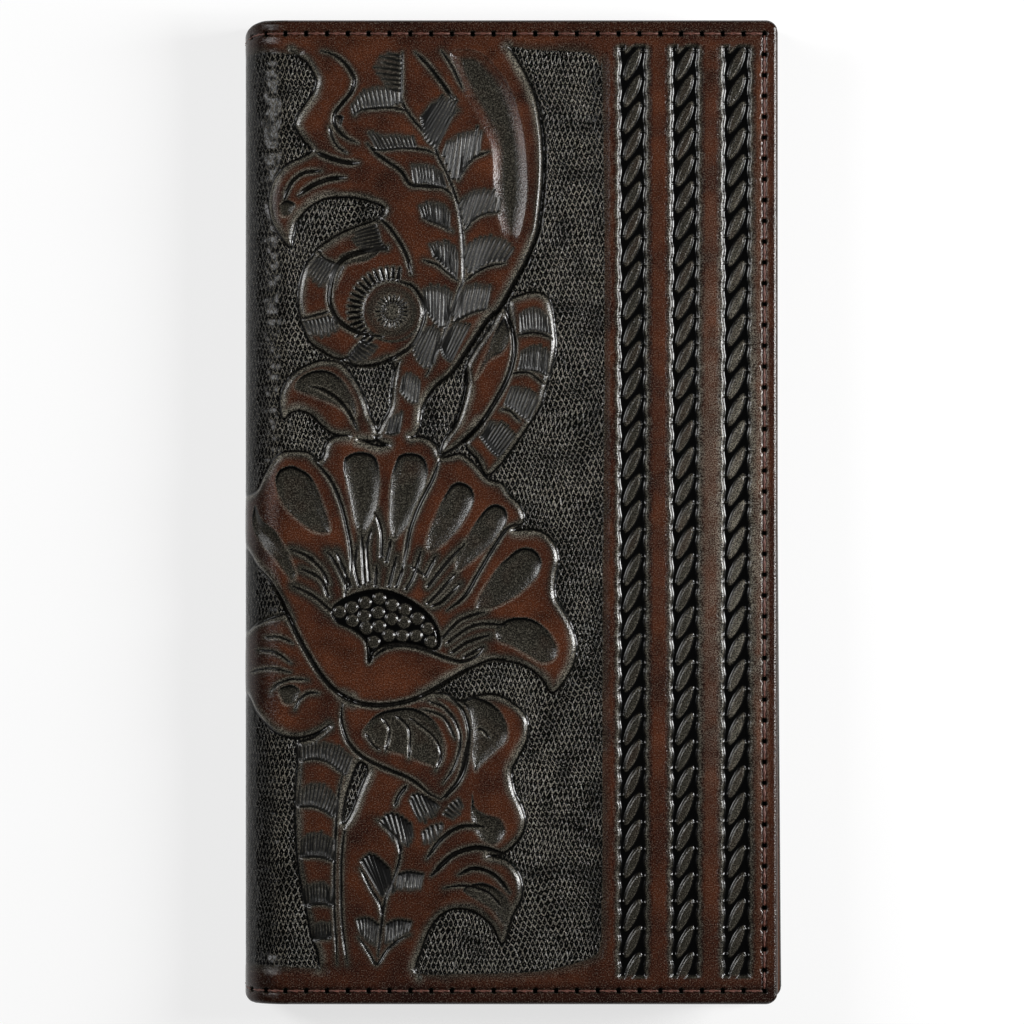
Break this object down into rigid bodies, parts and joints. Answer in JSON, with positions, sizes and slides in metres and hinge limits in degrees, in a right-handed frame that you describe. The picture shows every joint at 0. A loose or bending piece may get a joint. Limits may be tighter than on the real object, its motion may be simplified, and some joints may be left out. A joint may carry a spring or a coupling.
{
  "type": "rodeo wallet",
  "caption": "Tall bifold wallet of tooled leather with sewn edges, shingled card slots, an identity-card window and bill pockets; it opens flat on its fold.",
  "frame": {"origin": "on the surface that carries the closed wallet, under the middle of its bounding box", "axes": "+X from the fold to the free edge, +Y to the top of the covers, +Z from the back cover to the front cover"},
  "size_m": [0.0978, 0.178, 0.016],
  "materials": {
    "tooled_leather": "tooled, antiqued, waxed",
    "pocket_leather": "smooth, creased along the lips",
    "lining": "fine twill",
    "thread": "waxed, twisted",
    "clear_plastic": "clear, glossy"
  },
  "bodies": {
    "back_half": {"back_cover": "tooled_leather", "back_lining": "lining", "back_seam_thread": "thread", "back_pocket_panel": "pocket_leather", "back_card_slot_1": "pocket_leather", "back_card_slot_2": "pocket_leather", "back_card_slot_3": "pocket_leather", "back_card_slot_4": "pocket_leather", "back_card_slot_5": "pocket_leather", "back_card_slot_6": "pocket_leather", "back_card_slot_7": "pocket_leather", "back_card_slot_8": "pocket_leather"},
    "spine_1": {"spine_leather_1": "tooled_leather", "spine_lining_1": "lining"},
    "spine_2": {"spine_leather_2": "tooled_leather", "spine_lining_2": "lining"},
    "front_half": {"front_cover": "tooled_leather", "front_lining": "lining", "front_seam_thread": "thread", "front_pocket_panel": "pocket_leather", "front_card_slot_1": "pocket_leather", "front_card_slot_2": "pocket_leather", "front_card_slot_3": "pocket_leather", "window_clear_sheet": "clear_plastic", "window_frame": "pocket_leather", "window_frame_thread": "thread"}
  },
  "joints": [
    {"name": "fold_1", "type": "hinge", "parent": "back_half", "child": "spine_1", "pos_m": [-0.04496, 0, 0.00107], "axis": [0, -1, 0], "range_deg": [0, 60]},
    {"name": "fold_2", "type": "hinge", "parent": "spine_1", "child": "spine_2", "pos_m": [-0.04895, 0, 0.00798], "axis": [0, -1, 0], "range_deg": [0, 60]},
    {"name": "fold_3", "type": "hinge", "parent": "spine_2", "child": "front_half", "pos_m": [-0.04496, 0, 0.0149], "axis": [0, -1, 0], "range_deg": [0, 60]}
  ],
  "couplings": [
    {"joint": "fold_2", "follows": "fold_1", "ratio": 1},
    {"joint": "fold_3", "follows": "fold_1", "ratio": 1}
  ]
}
